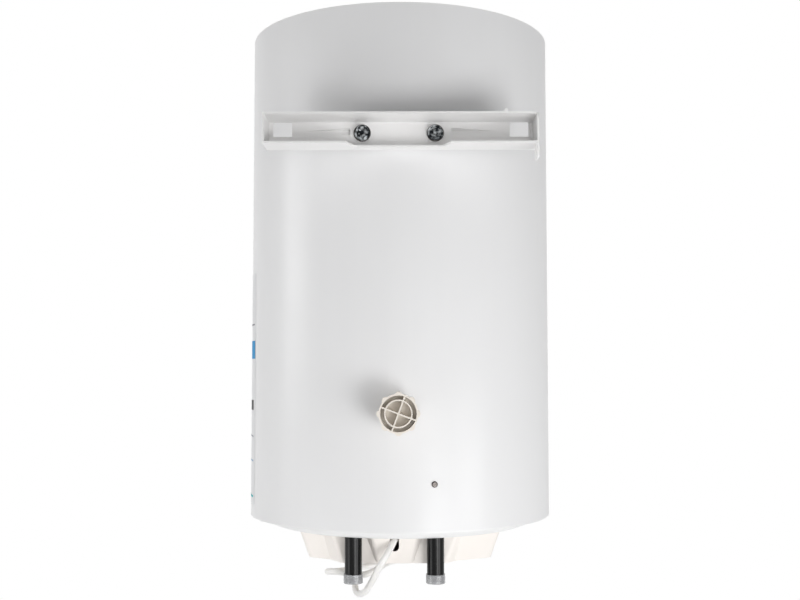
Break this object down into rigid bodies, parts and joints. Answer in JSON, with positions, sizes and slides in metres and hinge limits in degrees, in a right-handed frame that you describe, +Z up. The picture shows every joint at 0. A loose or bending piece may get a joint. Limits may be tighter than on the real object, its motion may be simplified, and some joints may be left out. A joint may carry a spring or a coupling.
{
  "type": "storage water heater",
  "caption": "Upright wall-hung electric storage water heater with hooked wall bracket, screw wall spacer, bottom electrical cover, two capped pipe ends and a coiled cord.",
  "frame": {"origin": "middle of the wall bracket, in the plane of the wall that the heater hangs on", "axes": "+X to the left of someone who looks at the heater from the wall side, +Y from the heater towards the wall, +Z up along the heater"},
  "size_m": [0.38, 0.426, 0.7109],
  "materials": {
    "casing_paint": "gloss white powder coat",
    "cap_plastic": "white moulded plastic",
    "bracket_paint": "gloss white paint",
    "cover_plastic": "cream moulded plastic",
    "black_metal": "black coating",
    "clear_cap": "translucent",
    "zinc": "zinc plated",
    "spacer_plastic": "pale grey",
    "tank_enamel": "enamelled steel",
    "foam": "rigid foam",
    "gasket_rubber": "matt",
    "bare_steel": "satin",
    "copper": "bare copper",
    "anode_metal": "cast",
    "dark_plastic": "fine grain",
    "red_plastic": "translucent red",
    "knob_plastic": "fine grain",
    "cord_white": "satin white",
    "wire_brown": "satin",
    "wire_blue": "satin",
    "tie_white": "satin",
    "nylon": "satin"
  },
  "bodies": {
    "heater": {"outer_casing": "casing_paint", "top_cap": "cap_plastic", "bottom_cap": "cap_plastic", "casing_screw": "zinc", "insulation_foam": "foam", "tank_shell": "tank_enamel", "tank_top_end": "tank_enamel", "tank_bottom_end": "tank_enamel", "tank_hanger": "bare_steel", "hanger_bosses": "bare_steel", "flange_collar": "tank_enamel", "flange_gasket": "gasket_rubber", "flange_plate": "zinc", "flange_studs": "zinc", "flange_nuts": "zinc", "heating_element": "copper", "anode_rod": "anode_metal", "anode_nut": "zinc", "sensor_pocket": "copper", "thermostat_bulb": "copper", "cold_inlet_pipe": "black_metal", "hot_outlet_pipe": "black_metal", "inlet_diffuser": "nylon", "wall_bracket": "bracket_paint", "bracket_washers": "zinc", "bracket_bolts": "zinc", "spacer_socket": "spacer_plastic", "electrical_cover": "cover_plastic", "cover_screws": "zinc", "thermostat_body": "dark_plastic", "thermal_cutout": "dark_plastic", "pilot_lens": "red_plastic", "pilot_holder": "dark_plastic", "terminal_block": "nylon", "terminal_screws": "zinc", "cord_grip": "nylon", "cord_grip_screws": "zinc", "cord_sheath_end": "cord_white", "mains_cores": "wire_brown", "phase_wire": "wire_brown", "neutral_wire": "wire_blue", "element_wire": "wire_brown", "earth_lug": "zinc", "cord_lead": "cord_white", "cord_coil": "cord_white", "cord_tail": "cord_white", "cord_tie": "tie_white", "cord_end_cores": "wire_brown"},
    "spacer_stem": {"spacer_stem": "spacer_plastic"},
    "spacer_foot": {"spacer_foot": "spacer_plastic"},
    "inlet_transit_cap": {"inlet_transit_cap": "clear_cap"},
    "outlet_transit_cap": {"outlet_transit_cap": "clear_cap"},
    "thermostat_knob": {"thermostat_knob": "knob_plastic"},
    "reset_button": {"reset_button": "red_plastic"}
  },
  "joints": [
    {"name": "spacer_travel", "type": "slide", "parent": "heater", "child": "spacer_stem", "axis": [0, 1, 0], "range_m": [-0.0101, 0.0061]},
    {"name": "spacer_turn", "type": "hinge", "parent": "spacer_stem", "child": "spacer_foot", "pos_m": [0.0022, 0, -0.3131], "axis": [0, 1, 0], "range_deg": [-900, 540]},
    {"name": "inlet_cap_pull", "type": "slide", "parent": "heater", "child": "inlet_transit_cap", "axis": [0, 0, -1], "range_m": [0, 0.03]},
    {"name": "outlet_cap_pull", "type": "slide", "parent": "heater", "child": "outlet_transit_cap", "axis": [0, 0, -1], "range_m": [0, 0.03]},
    {"name": "thermostat_turn", "type": "hinge", "parent": "heater", "child": "thermostat_knob", "pos_m": [-0.0478, -0.238, -0.5036], "axis": [0, 0, 1], "range_deg": [0, 270]},
    {"name": "reset_press", "type": "slide", "parent": "heater", "child": "reset_button", "axis": [0, 0, 1], "range_m": [0, 0.0015], "stiffness_N_per_m": 400}
  ],
  "couplings": [
    {"joint": "spacer_travel", "follows": "spacer_turn", "m_per_rad": 0.00063662}
  ]
}
